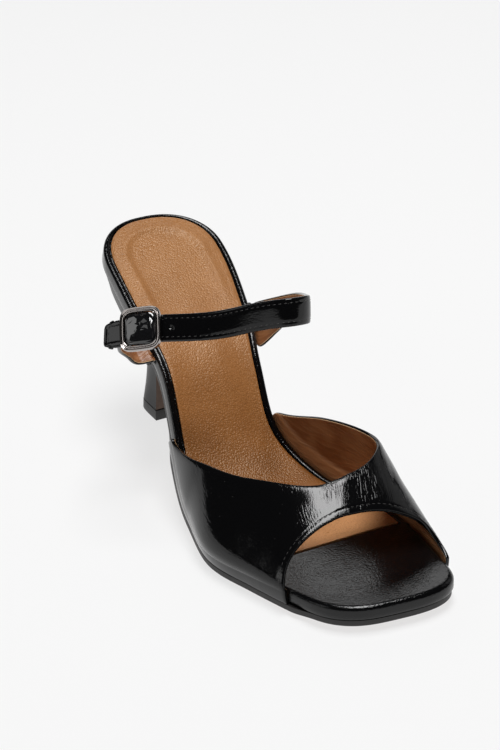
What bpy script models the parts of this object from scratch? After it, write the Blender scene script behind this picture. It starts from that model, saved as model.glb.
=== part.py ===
"""Open-toe heeled sandal for the right foot: wrapped footbed, sculpted heel, peep-toe vamp and one buckled strap.

All sizes are in millimetres until a solid is made. The toe points to -Y, the big-toe side is +X and the floor is
z = 0. "Share" always means a share of the footbed's length measured along its curve, 0 at the heel and 1 at the toe.
"""

import math

import bmesh
import bpy
import numpy as np
from mathutils import Matrix, Vector

for thing in list(bpy.data.objects):
    bpy.data.objects.remove(thing, do_unlink=True)

# Overall sizes
FOOT_LENGTH = 252.0
BALL_WIDTH = 80.0
SEAT_WIDTH = 58.0
SEAT_LENGTH = 56.0
SEAT_HEIGHT = 92.3
VAMP_HEIGHT = 64.0
STRAP_WIDTH = 11.0
BUCKLE_SIZE = 18.5
BUCKLE_DEPTH = 2.9

# Thicknesses
SEAT_BOARD = 7.4
FOREPART_BOARD = 6.0
OUTSOLE = 2.65
SOCK = 1.2
SOCK_SINK = 1.0
RIM = 3.4
VAMP_WALL = 1.7
STRAP_WALL = 1.8
TOP_LIFT = 5.3
TOP_LIFT_BEVEL = 0.6
TOP_LIFT_SPREAD = 1.05
COLLAR = 1.7

# Clearances between neighbours, and how deep the outsole's flat goes under the ball
GAP = 0.3
VAMP_GAP = 0.4
STRAP_GAP = 0.5
TUCK_GAP = 0.6
BREAST_GAP = 1.2
FLAT = 0.35

# Rounded and softened edges, and how far the shank's and toe's outsole and the heel lie inside the footbed's side
RIM_ROUND = 1.5
LOWER_ROUND = 1.1
SOCK_SOFT = 0.6
OUTSOLE_ROUND = 0.6
OUTSOLE_INSET = 0.7
HEEL_INSET = 1.2

# Slope of the footbed in degrees at the seat and the toe, and the shares where it bends
SEAT_SLOPE = 23.5
TOE_SLOPE = -2.8
SEAT_BEND = (0.238, 0.405)
BALL_BEND = (0.425, 0.744)
BOARD_THINS = (0.24, 0.44)

# Half widths of the footbed from its middle line, as shares of SEAT_WIDTH behind the waist and of BALL_WIDTH ahead
FOOTBED = {
    "share": (0.0, 0.12, 0.25, 0.38, 0.5, 0.6, 0.7, 0.8, 0.9, 1.0),
    "little_toe_side": (0.423, 0.462, 0.487, 0.467, 0.457, 0.487, 0.529, 0.465, 0.39, 0.293),
    "big_toe_side": (0.502, 0.524, 0.433, 0.285, 0.209, 0.3, 0.452, 0.471, 0.431, 0.373),
}
WAIST = (0.3, 0.6)
HEEL_CURVE = {"until": 0.10, "squareness": 2.35}
TOE_CURVE = {"from": 0.925, "squareness": 2.95}
TOE_SKEW = 0.143
SKEW_STARTS = (0.75, 0.95)
SOCK_END = 0.796

# Height of the vamp's ridge over the footbed as shares of VAMP_HEIGHT, the ridge's place across as a share of the
# big-toe half width, the fullness of each side's arch, and the shares where the throat and the peep cut it
VAMP = {
    "share": (0.4, 0.5, 0.6, 0.7, 0.8, 0.9, 1.0),
    "height": (1.08, 0.986, 1.014, 0.741, 0.464, 0.238, 0.175),
}
RIDGE = {"share": (0.5, 0.7, 0.9), "across": (0.96, 0.515, -0.14)}
LITTLE_TOE_ARCH = {"out": 1.68, "up": 1.5}
BIG_TOE_ARCH = {"out": 2.77, "up": 2.24}
THROAT = {
    "around": (0.0, 0.08, 0.2, 0.35, 0.5, 0.65, 0.8, 0.92, 1.0),
    "share": (0.463, 0.519, 0.661, 0.775, 0.79, 0.757, 0.683, 0.549, 0.468),
}
PEEP = {
    "around": (0.0, 0.1, 0.25, 0.4, 0.55, 0.7, 0.85, 1.0),
    "share": (0.896, 0.89, 0.86, 0.847, 0.849, 0.86, 0.872, 0.911),
}
SIDES_STRAIGHT = 0.93

# Heel, from the top lift to the seat. Heights are shares of the rise from the top lift to the seat, places from the
# back rim are shares of SEAT_LENGTH, half widths are shares of SEAT_WIDTH, and "seat" is how far a ring has taken
# the footbed's outline.
HEEL = {
    "back_height": (0.0, 0.096, 0.2, 0.316, 0.431, 0.53, 0.627, 0.726, 0.818),
    "back": (0.16, 0.153, 0.153, 0.158, 0.154, 0.132, 0.095, 0.052, 0.029),
    "front_height": (0.0, 0.096, 0.2, 0.316, 0.426, 0.506, 0.561, 0.597, 0.625),
    "front": (0.455, 0.425, 0.395, 0.364, 0.341, 0.329, 0.368, 0.492, 0.734),
    "half_width": (0.128, 0.103, 0.086, 0.078, 0.082, 0.105, 0.169, 0.276, 0.414),
    "squareness": (6.0, 4.2, 3.5, 3.1, 2.9, 2.7, 2.5, 2.4, 2.35),
    "seat": (0.0, 0.0, 0.0, 0.0, 0.0, 0.05, 0.2, 0.5, 0.85),
}
HEEL_MIDDLE = -0.3

# Instep strap from the big-toe side round to its tip. Across is in shares of BALL_WIDTH, along of FOOT_LENGTH,
# up of SEAT_HEIGHT and broad of STRAP_WIDTH. The lean columns are the direction of the upper edge.
STRAP = {
    "across": (0.319, 0.334, 0.319, 0.188, 0.138, 0.031, -0.063, -0.256, -0.565, -0.706),
    "along": (0.294, 0.335, 0.417, 0.514, 0.545, 0.554, 0.528, 0.472, 0.383, 0.339),
    "up": (0.713, 0.794, 0.916, 1.038, 1.078, 1.098, 1.075, 1.003, 0.941, 0.889),
    "lean_across": (-0.11, -0.11, -0.16, 0.17, 0.18, 0.12, 0.03, 0.12, 0.35, 0.30),
    "lean_back": (0.88, 0.78, 0.55, 0.33, 0.34, 0.37, 0.40, 0.46, 0.50, 0.45),
    "lean_up": (0.46, 0.61, 0.82, 0.93, 0.92, 0.92, 0.92, 0.88, 0.79, 0.84),
    "broad": (1.65, 1.16, 1.0, 1.0, 1.0, 1.0, 1.0, 1.0, 1.0, 1.0),
}

# Buckle strap on the little-toe side, with the same columns, up to where it turns in under the buckle
BUCKLE_STRAP = {
    "across": (-0.437, -0.531, -0.606, -0.621),
    "along": (0.262, 0.286, 0.319, 0.345),
    "up": (0.661, 0.743, 0.834, 0.892),
    "lean_across": (0.05, 0.10, 0.25, 0.33),
    "lean_back": (0.86, 0.76, 0.62, 0.53),
    "lean_up": (0.50, 0.64, 0.74, 0.78),
    "broad": (1.25, 1.05, 1.0, 1.0),
}

# Where each strap's front and back edges cross the footbed's side, low down and at its rim, and how short of the
# footbed's lower and upper faces the strap's straight foot stops
STRAP_FOOT = {"low": (0.333, 0.243), "rim": (0.345, 0.258)}
BUCKLE_STRAP_FOOT = {"low": (0.315, 0.24), "rim": (0.322, 0.245)}
STRAP_HEM = 0.4
RIM_DROP = 0.5

# How far the instep strap's tip reaches past the buckle's middle, and the turned-in end of the strap under it
TIP_LENGTH = 17.1
TUCK = (1.0, -7.0)

# Sections of the buckle's frame and stone, as shares of BUCKLE_SIZE and BUCKLE_DEPTH
FRAME_SECTION = {
    "size": (1.0, 1.0, 0.96, 0.86, 0.78, 0.76, 0.76, 0.95),
    "above": (0.12, 0.52, 0.72, 0.79, 0.66, 0.41, 0.10, 0.03),
}
STONE_SECTION = {
    "size": (0.68, 0.72, 0.60, 0.42),
    "above": (0.07, 0.45, 0.79, 1.0),
    "squareness": (6.0, 6.0, 5.0, 4.0),
}
FRAME_SQUARENESS = 4.5

BLACK_PATENT = {"colour": (0.012, 0.012, 0.013), "roughness": 0.2, "metallic": 0.0}
TAN_LEATHER = {"colour": (0.45, 0.25, 0.13), "roughness": 0.5, "metallic": 0.0}
BROWN_SOLE = {"colour": (0.05, 0.035, 0.028), "roughness": 0.6, "metallic": 0.0}
BLACK_RUBBER = {"colour": (0.01, 0.01, 0.01), "roughness": 0.7, "metallic": 0.0}
BLACK_STONE = {"colour": (0.01, 0.01, 0.012), "roughness": 0.08, "metallic": 0.0}
DARK_SILVER = {"colour": (0.45, 0.44, 0.46), "roughness": 0.15, "metallic": 1.0}


def through(places, values, where):
    """A smooth curve through the table's values, read at one place or many."""
    places = np.asarray(places, float)
    values = np.asarray(values, float)
    steps = np.diff(places)
    rises = np.diff(values) / steps
    slopes = np.empty(len(places))
    slopes[1:-1] = (rises[:-1] * steps[1:] + rises[1:] * steps[:-1]) / (steps[1:] + steps[:-1])
    slopes[0] = rises[0]
    slopes[-1] = rises[-1]
    where = np.clip(np.asarray(where, float), places[0], places[-1])
    low = np.clip(np.searchsorted(places, where, side="right") - 1, 0, len(steps) - 1)
    step = steps[low]
    t = (where - places[low]) / step
    return (
        values[low] * (1 + 2 * t) * (1 - t) ** 2
        + slopes[low] * step * t * (1 - t) ** 2
        + values[low + 1] * t * t * (3 - 2 * t)
        + slopes[low + 1] * step * t * t * (t - 1)
    )


def ease(value, start, end):
    """0 before the start, 1 after the end and a smooth rise between."""
    t = np.clip((value - start) / (end - start), 0.0, 1.0)
    return t * t * (3 - 2 * t)


# The footbed's middle line, seen from the side: the shank takes the slope that lifts the back rim to SEAT_HEIGHT
SHARES = np.linspace(0.0, 1.0, 401)
STEP = FOOT_LENGTH / (len(SHARES) - 1)
BALL_TOP = FOREPART_BOARD + GAP + OUTSOLE - FLAT


def slopes_with(shank):
    into_shank = (shank - SEAT_SLOPE) * ease(SHARES, *SEAT_BEND)
    into_toe = (TOE_SLOPE - shank) * ease(SHARES, *BALL_BEND)
    return np.radians(SEAT_SLOPE + into_shank + into_toe)


def along_curve(part_of_step):
    return np.concatenate([[0.0], np.cumsum(part_of_step[1:] + part_of_step[:-1]) / 2 * STEP])


low_slope, high_slope = 0.0, 85.0
for halving in range(40):
    shank_slope = (low_slope + high_slope) / 2
    if along_curve(np.sin(slopes_with(shank_slope))).max() > SEAT_HEIGHT - BALL_TOP:
        high_slope = shank_slope
    else:
        low_slope = shank_slope

SLOPES = slopes_with(shank_slope)
FORWARD = along_curve(np.cos(SLOPES))
DROP = along_curve(np.sin(SLOPES))
HEIGHT = DROP.max() - DROP + BALL_TOP


def board(share):
    """Thickness of the wrapped footbed."""
    return SEAT_BOARD + (FOREPART_BOARD - SEAT_BOARD) * ease(share, *BOARD_THINS)


def on_footbed(share, across, above=0.0, up=0.0):
    """The point at a share and a distance across, raised square to the footbed or straight up."""
    share = share + TOE_SKEW * across / FOOT_LENGTH * ease(share, *SKEW_STARTS)
    slope = np.interp(share, SHARES, SLOPES)
    beyond = max(share - 1.0, 0.0) * FOOT_LENGTH
    forward = np.interp(share, SHARES, FORWARD) + beyond
    height = np.interp(share, SHARES, HEIGHT) - beyond * math.tan(SLOPES[-1])
    return Vector((across, -(forward + above * math.sin(slope)), height + up + above * math.cos(slope)))


def end_curve(share):
    """1 along the footbed, falling to 0 round the heel and round the squared toe."""
    heel_power = HEEL_CURVE["squareness"]
    toe_power = TOE_CURVE["squareness"]
    heel = np.clip(1 - share / HEEL_CURVE["until"], 0, 1) ** heel_power
    toe = np.clip((share - TOE_CURVE["from"]) / (1 - TOE_CURVE["from"]), 0, 1) ** toe_power
    return (1 - heel) ** (1 / heel_power) * (1 - toe) ** (1 / toe_power)


def half_width(side, share):
    column = "big_toe_side" if side > 0 else "little_toe_side"
    wide = SEAT_WIDTH + (BALL_WIDTH - SEAT_WIDTH) * ease(share, *WAIST)
    return float(through(FOOTBED["share"], FOOTBED[column], share)) * wide


def outside(side, share, distance):
    """Distance across to a line that stays a true distance out from the footbed's side."""
    share = min(share, SIDES_STRAIGHT)
    edge = half_width(side, share) * end_curve(share)
    reach = 0.01
    lean = (half_width(side, share + reach) - half_width(side, share - reach)) / (2 * reach * FOOT_LENGTH)
    return edge + distance * math.sqrt(1 + lean * lean)


def rim_point(side, share, inset, above, across=1.0):
    """A point a distance in from the footbed's rim, all the way round it."""
    shrink = inset / FOOT_LENGTH
    place = shrink + (1 - 2 * shrink) * share
    return on_footbed(place, side * across * (half_width(side, place) - inset) * end_curve(share), above)


def surface(name, points, faces, finish):
    """A mesh from points in millimetres, welded and in metres, with its own material."""
    mesh = bpy.data.meshes.new(name)
    shape = bmesh.new()
    corners = [shape.verts.new(Vector(point) * 0.001) for point in points]
    for face in faces:
        shape.faces.new([corners[i] for i in face])
    bmesh.ops.remove_doubles(shape, verts=shape.verts, dist=0.00001)
    bmesh.ops.dissolve_degenerate(shape, edges=shape.edges, dist=0.00001)
    bmesh.ops.recalc_face_normals(shape, faces=shape.faces)
    shape.to_mesh(mesh)
    shape.free()
    material = bpy.data.materials.new(name)
    material.use_nodes = True
    look = material.node_tree.nodes["Principled BSDF"].inputs
    look["Base Color"].default_value = (*finish["colour"], 1.0)
    look["Roughness"].default_value = finish["roughness"]
    look["Metallic"].default_value = finish["metallic"]
    mesh.materials.append(material)
    body = bpy.data.objects.new(name, mesh)
    SHOE.objects.link(body)
    return body


def stacked(name, rings, finish, start=True, end=True):
    """A body through rings of equally many points, with flat ends or ends that close by themselves."""
    count = len(rings[0])
    points = [point for ring in rings for point in ring]
    faces = []
    for level in range(len(rings) - 1):
        for i in range(count):
            j = (i + 1) % count
            faces.append((level * count + i, level * count + j, (level + 1) * count + j, (level + 1) * count + i))
    if start:
        faces.append(tuple(range(count)))
    if end:
        faces.append(tuple((len(rings) - 1) * count + i for i in reversed(range(count))))
    return surface(name, points, faces, finish)


def shell(name, rows, wall, side, finish):
    """A leather sheet with its true wall, from a grid of points: side -1 puts the wall inside the grid, 0 about it."""
    columns = len(rows[0])
    faces = []
    for r in range(len(rows) - 1):
        for c in range(columns - 1):
            corner = r * columns + c
            faces.append((corner, corner + 1, corner + columns + 1, corner + columns))
    body = surface(name, [point for row in rows for point in row], faces, finish)
    thicken = body.modifiers.new("wall", "SOLIDIFY")
    thicken.thickness = wall * 0.001
    thicken.offset = side
    thicken.use_even_offset = True
    return body


def stations(start, end, count):
    """Shares from start to end, closer together at both ends."""
    return [start + (end - start) * (0.5 - 0.5 * math.cos(math.pi * i / count)) for i in range(count + 1)]


def layer(name, profile, shares, finish):
    """A sheet that follows the footbed: the half profile runs from the middle of the top to the middle below."""
    rings = []
    for share in shares:
        right = [rim_point(1, share, inset, above, across) for inset, above, across in profile(share)]
        left = [rim_point(-1, share, inset, above, across) for inset, above, across in profile(share)]
        rings.append(right + left[::-1][1:-1])
    return stacked(name, rings, finish, start=shares[0] > 0, end=shares[-1] < 1)


def flat_bottom(edge, above):
    """The end of a half profile: its lower edge, then across to the middle."""
    return ((edge, above, 1.0), (edge, above, 0.55), (edge, above, 0.0))


def ribbon(table, foot, side, steps, tuck=()):
    """Rows of points down the middle of a strap, lower edge to upper edge, from the footbed's side to its end."""
    low_edge = []
    high_edge = []
    for place, above in (("low", STRAP_HEM - SEAT_BOARD), ("low", -SEAT_BOARD / 2), ("rim", -RIM_DROP)):
        for share, edge in zip(foot[place], (low_edge, high_edge)):
            out = outside(side, share, STRAP_GAP + STRAP_WALL / 2)
            edge.append(on_footbed(share, side * out, above))
    for across, along, up, *lean, broad in zip(*table.values()):
        centre = Vector((across * BALL_WIDTH, -along * FOOT_LENGTH, up * SEAT_HEIGHT))
        half = Vector(lean).normalized() * broad * STRAP_WIDTH / 2
        low_edge.append(centre - half)
        high_edge.append(centre + half)
    for low, high in tuck:
        low_edge.append(low)
        high_edge.append(high)
    middle_line = [(low + high) / 2 for low, high in zip(low_edge, high_edge)]
    lengths = np.cumsum([0.0] + [(b - a).length for a, b in zip(middle_line, middle_line[1:])])
    rows = []
    for i in range(steps + 1):
        low, high = [
            Vector([float(through(lengths, [p[axis] for p in edge], lengths[-1] * i / steps)) for axis in range(3)])
            for edge in (low_edge, high_edge)
        ]
        rows.append([low + (high - low) * k / 4 for k in range(5)])
    return rows


SHOE = bpy.data.collections.new("stiletto_sandal")
bpy.context.scene.collection.children.link(SHOE)


# Outsole: thin, from the heel's front edge to the toe, with a flat under the ball. Beside the vamp it reaches out
# under the middle of the vamp's wall.
def outsole_profile(share):
    top = -board(share) - GAP
    beside_vamp = ease(share, 0.44, 0.5) * (1 - ease(share, 0.9, 0.95))
    edge = OUTSOLE_INSET - (OUTSOLE_INSET + VAMP_GAP + VAMP_WALL / 2) * beside_vamp
    return (
        (edge, top, 0.0), (edge, top, 0.55), (edge, top, 1.0),
        (edge, top - OUTSOLE + OUTSOLE_ROUND, 1.0), *flat_bottom(edge + OUTSOLE_ROUND, top - OUTSOLE),
    )


outsole = layer("outsole", outsole_profile, stations((SEAT_LENGTH + BREAST_GAP) / FOOT_LENGTH, 1.0, 48), BROWN_SOLE)
for vertex in outsole.data.vertices:
    vertex.co.z = max(vertex.co.z, 0.0)


# Footbed: a board wrapped in the upper's leather, sunk for the tan sock so that its rim stands round it
def footbed_profile(share):
    sunk = 0.0 if share > SOCK_END else -SOCK_SINK
    diagonal = RIM_ROUND * (1 - math.sqrt(0.5))
    return (
        (RIM, sunk, 0.0), (RIM, sunk, 0.55), (RIM, sunk, 1.0), (RIM - GAP, 0.0, 1.0),
        (RIM_ROUND, 0.0, 1.0), (diagonal, -diagonal, 1.0), (0.0, -RIM_ROUND, 1.0),
        (0.0, LOWER_ROUND - board(share), 1.0), *flat_bottom(LOWER_ROUND, -board(share)),
    )


sock_edge = (SOCK_END, SOCK_END + GAP / FOOT_LENGTH)
footbed_shares = [share for share in stations(0.0, 1.0, 60) if abs(share - SOCK_END) > 0.005]
layer("footbed", footbed_profile, sorted([*footbed_shares, *sock_edge]), BLACK_PATENT)


# Sock: the tan leather insole, straight across at its front edge
def sock_profile(share):
    edge = RIM + GAP
    low = GAP - SOCK_SINK
    return (
        (edge, low + SOCK, 0.0), (edge, low + SOCK, 0.55), (edge + SOCK_SOFT, low + SOCK, 1.0),
        (edge, low + SOCK - SOCK_SOFT, 1.0), *flat_bottom(edge, low),
    )


layer("sock", sock_profile, stations(0.0, SOCK_END - 2 * GAP / FOOT_LENGTH, 44), TAN_LEATHER)


# Heel: a slim column with a flat front, flared at the foot and spreading into a cup under the seat
HEEL_SIDE_POINTS = 9


def flat_fronted(point):
    """A ring from the front of the little-toe side round the back to the other side, then straight across."""
    places = [(i / HEEL_SIDE_POINTS) ** 1.6 for i in range(HEEL_SIDE_POINTS + 1)]
    ring = [point(-1, q) for q in reversed(places)] + [point(1, q) for q in places[1:]]
    return ring + [ring[-1] + (ring[0] - ring[-1]) * k / 3 for k in (1, 2)]


def heel_ring(level):
    row = {column: values[level] for column, values in HEEL.items()}
    power = row["squareness"]
    foot = TOP_LIFT + GAP

    def point(side, q):
        column_x = HEEL_MIDDLE + side * row["half_width"] * SEAT_WIDTH * (1 - (1 - q) ** power) ** (1 / power)
        forward = (row["back"] + (row["front"] - row["back"]) * q) * SEAT_LENGTH
        height = row["back_height"] + (row["front_height"] - row["back_height"]) * q
        seat_x = rim_point(side, forward / math.cos(SLOPES[0]) / FOOT_LENGTH, HEEL_INSET, 0).x
        return Vector((column_x + (seat_x - column_x) * row["seat"], -forward, foot + height * (SEAT_HEIGHT - foot)))

    return flat_fronted(point)


def seat_ring(above):
    return flat_fronted(lambda side, q: rim_point(side, SEAT_LENGTH / FOOT_LENGTH * q, HEEL_INSET, above))


heel_rings = [heel_ring(level) for level in range(len(HEEL["back"]))]
heel_rings += [seat_ring(-SEAT_BOARD - GAP - COLLAR), seat_ring(-SEAT_BOARD - GAP)]
stacked("heel", heel_rings, BLACK_PATENT)

# Top lift: the hard black plate that the heel stands on
foot_ring = heel_rings[0]
foot_middle = sum(foot_ring, Vector()) / len(foot_ring)
lift_rings = []
for height, grow in ((0.0, (1 + 3 * TOP_LIFT_SPREAD) / 4), (TOP_LIFT_BEVEL, TOP_LIFT_SPREAD), (TOP_LIFT, 1.0)):
    ring = [foot_middle + (point - foot_middle) * grow for point in foot_ring]
    lift_rings.append([Vector((point.x, point.y, height)) for point in ring])
stacked("top_lift", lift_rings, BLACK_RUBBER)

# Vamp: one hollow arch from the throat edge to the peep edge, its sides going down round the footbed
VAMP_ROWS = 18
VAMP_COLUMNS = 30


def arch_point(share, around):
    little = outside(-1, share, VAMP_GAP + VAMP_WALL)
    big = outside(1, share, VAMP_GAP + VAMP_WALL)
    ridge = float(through(RIDGE["share"], RIDGE["across"], share)) * big
    arch = LITTLE_TOE_ARCH if around < 0.5 else BIG_TOE_ARCH
    out = abs(math.cos(around * math.pi)) ** (2 / arch["out"])
    up = abs(math.sin(around * math.pi)) ** (2 / arch["up"])
    across = ridge - (little + ridge) * out if around < 0.5 else ridge + (big - ridge) * out
    height = float(through(VAMP["share"], VAMP["height"], share)) * VAMP_HEIGHT
    return on_footbed(share, across, 0.0, height * up)


def between_edges(around, v):
    """The share at a place around the arch, from the throat edge at v = 0 to the peep edge at v = 1."""
    throat = float(through(THROAT["around"], THROAT["share"], around))
    peep = float(through(PEEP["around"], PEEP["share"], around))
    return throat + (peep - throat) * v


def vamp_row(v):
    """Points from the little-toe side's lower edge over the arch to the big-toe side's lower edge."""
    straight_sides = []
    for side, around in ((-1, 0.0), (1, 1.0)):
        share = between_edges(around, v)
        wide = side * outside(side, share, VAMP_GAP + VAMP_WALL)
        straight_sides.append([on_footbed(share, wide, above) for above in (-FOREPART_BOARD, -FOREPART_BOARD / 2)])
    over = []
    for i in range(VAMP_COLUMNS + 1):
        turn = math.cos(math.pi * i / VAMP_COLUMNS)
        around = 0.5 - turn * (3 + turn * turn) / 8
        over.append(arch_point(between_edges(around, v), around))
    return straight_sides[0] + over + straight_sides[1][::-1]


shell("vamp", [vamp_row(i / VAMP_ROWS) for i in range(VAMP_ROWS + 1)], VAMP_WALL, -1, BLACK_PATENT)

# Instep strap: one leather strip from the big-toe side of the footbed, over the instep, to its tip past the buckle
strap_rows = ribbon(STRAP, STRAP_FOOT, 1, 64)
shell("instep_strap", strap_rows, STRAP_WALL, 0, BLACK_PATENT)

# The buckle's place on the strap, and its own axes there
strap_step = (strap_rows[-1][2] - strap_rows[-2][2]).length
held_row = len(strap_rows) - 1 - round(TIP_LENGTH / strap_step)
held = strap_rows[held_row]
run = (strap_rows[held_row + 1][2] - strap_rows[held_row - 1][2]).normalized()
face = (held[4] - held[0]).cross(run).normalized()
rise = run.cross(face).normalized()

# Buckle strap: leaves the footbed's little-toe side, swells outward and turns in flat under the buckle
under = face * -(STRAP_WALL + TUCK_GAP)
tuck = [(held[0] + under + run * step, held[4] + under + run * step) for step in TUCK]
shell("buckle_strap", ribbon(BUCKLE_STRAP, BUCKLE_STRAP_FOOT, -1, 24, tuck), STRAP_WALL, 0, BLACK_PATENT)


# Buckle: a rounded-square metal frame that holds a cushion-cut black stone
def square_ring(size, above, squareness, count):
    ring = []
    for i in range(count):
        turn = 2 * math.pi * (i + 0.5) / count
        c, s = math.cos(turn), math.sin(turn)
        reach = size * BUCKLE_SIZE / 2 / (abs(c) ** squareness + abs(s) ** squareness) ** (1 / squareness)
        lift = STRAP_WALL / 2 + GAP + above * BUCKLE_DEPTH
        ring.append(held[2] + run * c * reach + rise * s * reach + face * lift)
    return ring


frame_rings = [square_ring(size, above, FRAME_SQUARENESS, 40) for size, above in zip(*FRAME_SECTION.values())]
stacked("buckle_frame", [*frame_rings, frame_rings[0]], DARK_SILVER, start=False, end=False)

stone_rings = [square_ring(size, above, squareness, 16) for size, above, squareness in zip(*STONE_SECTION.values())]
stacked("buckle_stone", stone_rings, BLACK_STONE)

# The middle of the whole shoe's outline goes to the origin
bpy.context.view_layer.update()
graph = bpy.context.evaluated_depsgraph_get()
corners = np.array([tuple(v.co) for body in SHOE.objects for v in body.evaluated_get(graph).data.vertices])
middle = (corners.min(axis=0) + corners.max(axis=0)) / 2
for body in SHOE.objects:
    body.data.transform(Matrix.Translation((-middle[0], -middle[1], 0.0)))
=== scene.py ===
"""Finish of a black patent peep-toe sandal for the right foot, with a tan sock and a slim sculpted heel.

Sizes are in millimetres until a mesh is made. The toe points to -Y, the big-toe side to +X, and the floor
is z = 0. A share is a share of the footbed's length along its curve, 0 at the heel and 1 at the toe.
"""

import math

import bmesh
import bpy
import numpy as np
from mathutils import Matrix, Vector


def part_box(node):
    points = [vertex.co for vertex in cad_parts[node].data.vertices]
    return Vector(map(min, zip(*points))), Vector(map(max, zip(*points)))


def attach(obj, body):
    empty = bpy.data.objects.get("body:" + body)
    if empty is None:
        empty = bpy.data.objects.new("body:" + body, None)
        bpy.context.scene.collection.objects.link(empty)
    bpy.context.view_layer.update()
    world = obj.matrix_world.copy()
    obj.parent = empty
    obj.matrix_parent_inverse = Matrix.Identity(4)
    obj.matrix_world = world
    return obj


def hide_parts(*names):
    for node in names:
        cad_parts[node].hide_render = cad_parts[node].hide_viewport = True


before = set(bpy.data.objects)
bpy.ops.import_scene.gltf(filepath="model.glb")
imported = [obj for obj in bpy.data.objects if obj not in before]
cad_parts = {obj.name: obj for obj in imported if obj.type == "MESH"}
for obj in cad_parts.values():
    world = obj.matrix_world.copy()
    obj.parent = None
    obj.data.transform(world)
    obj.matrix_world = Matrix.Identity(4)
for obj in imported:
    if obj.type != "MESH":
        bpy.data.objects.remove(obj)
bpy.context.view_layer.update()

# Camera: stands before the shoe on its little-toe side and looks down on it through a long lens, in an
# upright frame of 500 by 750.
EYE = {"at": (-0.35913, -0.70217, 0.47484), "turned": (62.443, 1.148, -28.093), "lens": 101.594, "film": 36.0}
EYE_SEES = (0.05, 50.0)

lens = bpy.data.cameras.new("camera")
lens.lens = EYE["lens"]
lens.sensor_width = EYE["film"]
lens.clip_start, lens.clip_end = EYE_SEES
eye = bpy.data.objects.new("camera", lens)
eye.location = EYE["at"]
eye.rotation_euler = [math.radians(angle) for angle in EYE["turned"]]
bpy.context.scene.collection.objects.link(eye)
bpy.context.scene.camera = eye

# Footbed: board and foam wrapped in black patent leather, with a rim that stands round the sock and a squared
# toe. Its curve, from the seat down a steep shank to a flat forepart, carries every other piece.
FOOT_LENGTH = 252.0
BALL_WIDTH = 80.0
SEAT_WIDTH = 58.0
SEAT_LENGTH = 56.0
SEAT_HEIGHT = 92.3
SEAT_BOARD = 7.4
FOREPART_BOARD = 6.0
OUTSOLE = 2.65
RIM = 3.4
GAP = 0.3
FLAT = 0.35
SOCK_SINK = 1.0
RIM_BEAD = 1.1
RIM_NARROWS = {"by": 1.3, "until": 0.11}
TOE_ROUND = 2.2
LOWER_ROUND = 1.1
SEAT_SLOPE = 23.5
TOE_SLOPE = -2.8
SEAT_BEND = (0.238, 0.405)
BALL_BEND = (0.425, 0.744)
BOARD_THINS = (0.24, 0.44)
FOOTBED = {
    "share": (0.0, 0.12, 0.25, 0.38, 0.5, 0.6, 0.7, 0.8, 0.9, 1.0),
    "little_toe_side": (0.423, 0.462, 0.487, 0.467, 0.457, 0.487, 0.529, 0.465, 0.39, 0.293),
    "big_toe_side": (0.502, 0.524, 0.433, 0.285, 0.209, 0.3, 0.452, 0.471, 0.431, 0.373),
}
WAIST = (0.3, 0.6)
HEEL_CURVE = {"until": 0.10, "squareness": 2.35}
TOE_CURVE = {"from": 0.925, "squareness": 2.95}
TOE_SKEW = 0.143
SKEW_STARTS = (0.75, 0.95)
SOCK_END = 0.796
HEEL_MIDDLE = -0.3
MM = 0.001
MERGE = 0.01 * MM


def through(places, values, where):
    """A smooth curve through the table's values, read at one place or many."""
    places = np.asarray(places, float)
    values = np.asarray(values, float)
    steps = np.diff(places)
    rises = np.diff(values) / steps
    slopes = np.empty(len(places))
    slopes[1:-1] = (rises[:-1] * steps[1:] + rises[1:] * steps[:-1]) / (steps[1:] + steps[:-1])
    slopes[0] = rises[0]
    slopes[-1] = rises[-1]
    where = np.clip(np.asarray(where, float), places[0], places[-1])
    low = np.clip(np.searchsorted(places, where, side="right") - 1, 0, len(steps) - 1)
    step = steps[low]
    t = (where - places[low]) / step
    return (
        values[low] * (1 + 2 * t) * (1 - t) ** 2
        + slopes[low] * step * t * (1 - t) ** 2
        + values[low + 1] * t * t * (3 - 2 * t)
        + slopes[low + 1] * step * t * t * (t - 1)
    )


def ease(value, start, end):
    """0 before the start, 1 after the end and a smooth rise between."""
    t = np.clip((value - start) / (end - start), 0.0, 1.0)
    return t * t * (3 - 2 * t)


def hump(value, middle, width):
    """A soft bump, 1 at its middle."""
    return np.exp(-(((value - middle) / width) ** 2))


def unit(vectors):
    return vectors / np.linalg.norm(vectors, axis=-1, keepdims=True)


SHARES = np.linspace(0.0, 1.0, 401)
STEP = FOOT_LENGTH / (len(SHARES) - 1)
HALVINGS = 40
BALL_TOP = FOREPART_BOARD + GAP + OUTSOLE - FLAT


def slopes_with(shank):
    into_shank = (shank - SEAT_SLOPE) * ease(SHARES, *SEAT_BEND)
    into_toe = (TOE_SLOPE - shank) * ease(SHARES, *BALL_BEND)
    return np.radians(SEAT_SLOPE + into_shank + into_toe)


def along_curve(part_of_step):
    return np.concatenate([[0.0], np.cumsum(part_of_step[1:] + part_of_step[:-1]) / 2 * STEP])


low_slope, high_slope = 0.0, 85.0
for halving in range(HALVINGS):
    shank_slope = (low_slope + high_slope) / 2
    if along_curve(np.sin(slopes_with(shank_slope))).max() > SEAT_HEIGHT - BALL_TOP:
        high_slope = shank_slope
    else:
        low_slope = shank_slope
SLOPES = slopes_with(shank_slope)
FORWARD = along_curve(np.cos(SLOPES))
DROP = along_curve(np.sin(SLOPES))
HEIGHT = DROP.max() - DROP + BALL_TOP

# Where the shoe stands in the frame: the top lift lies on the heel's middle line, and the lower edge of the
# footbed's back is the furthest back that the footbed reaches.
lift_low, lift_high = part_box("top_lift")
back_edge = (SEAT_BOARD - LOWER_ROUND) * math.sin(SLOPES[0])
PLACE = np.array([
    (lift_low.x + lift_high.x) / 2 / MM - HEEL_MIDDLE,
    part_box("footbed")[1].y / MM - back_edge,
    0.0,
])


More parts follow.
